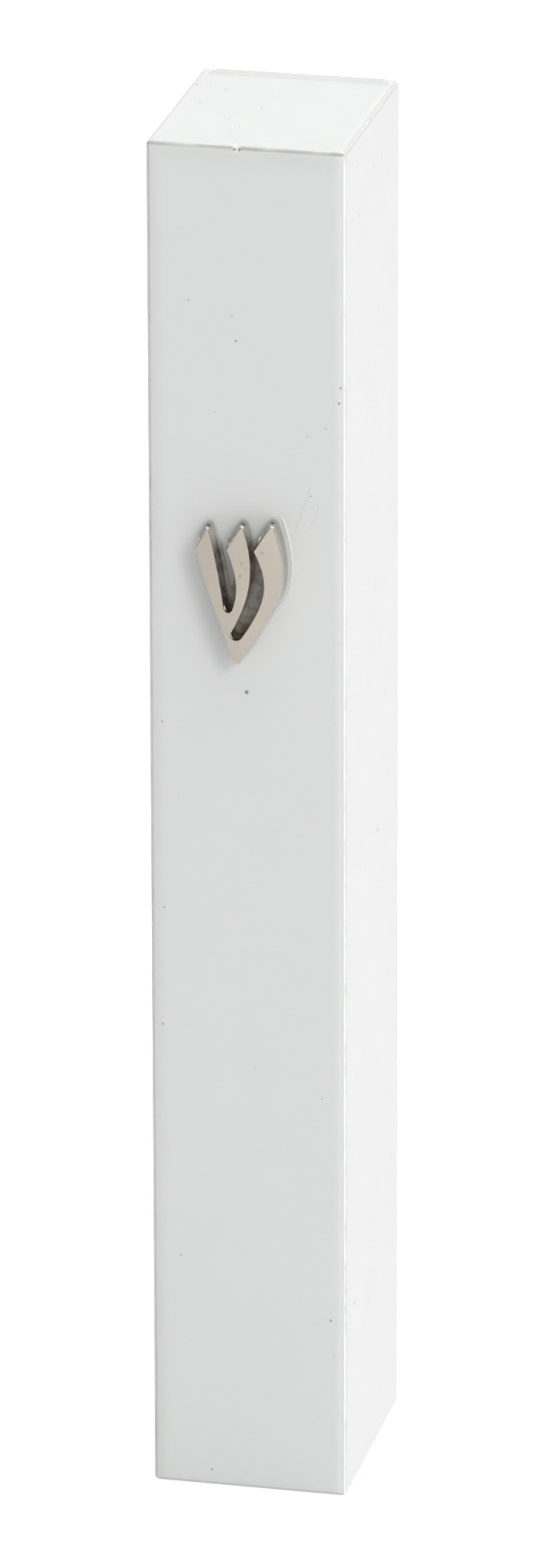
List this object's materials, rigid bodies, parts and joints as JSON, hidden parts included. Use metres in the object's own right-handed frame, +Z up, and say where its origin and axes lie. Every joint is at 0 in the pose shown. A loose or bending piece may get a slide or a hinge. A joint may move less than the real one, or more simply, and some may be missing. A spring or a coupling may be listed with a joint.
{
  "type": "mezuzah case",
  "caption": "Tall slim white box case with a sliding back cover, a raised metal letter on its front and a rolled parchment inside.",
  "frame": {"origin": "centre of the underside of the case, which stands on z = 0", "axes": "+Z up the case, -Y out of its front face where the letter is, +X to the right seen from the front"},
  "size_m": [0.0176, 0.0254, 0.125],
  "materials": {
    "white_gloss": "smooth white opal plastic with a soft gloss",
    "white_satin": "satin white plastic",
    "satin_nickel": "satin nickel plate on a casting, its sides polished",
    "clear_glue": "clear set glue",
    "parchment": "plain cream parchment",
    "clear_film": "thin clear plastic film",
    "foam_tape": "white closed-cell foam",
    "liner_paper": "waxed release paper"
  },
  "bodies": {
    "case": {"case_shell": "white_gloss", "shin_letter": "satin_nickel", "letter_adhesive": "clear_glue", "parchment_scroll": "parchment", "scroll_sleeve": "clear_film"},
    "cover": {"back_cover": "white_satin", "upper_tape_pad": "foam_tape", "lower_tape_pad": "foam_tape", "upper_tape_liner": "liner_paper", "lower_tape_liner": "liner_paper"}
  },
  "joints": [
    {"name": "back_cover_slide", "type": "slide", "parent": "case", "child": "cover", "axis": [0, 0, 1], "range_m": [0, 0.12]}
  ]
}
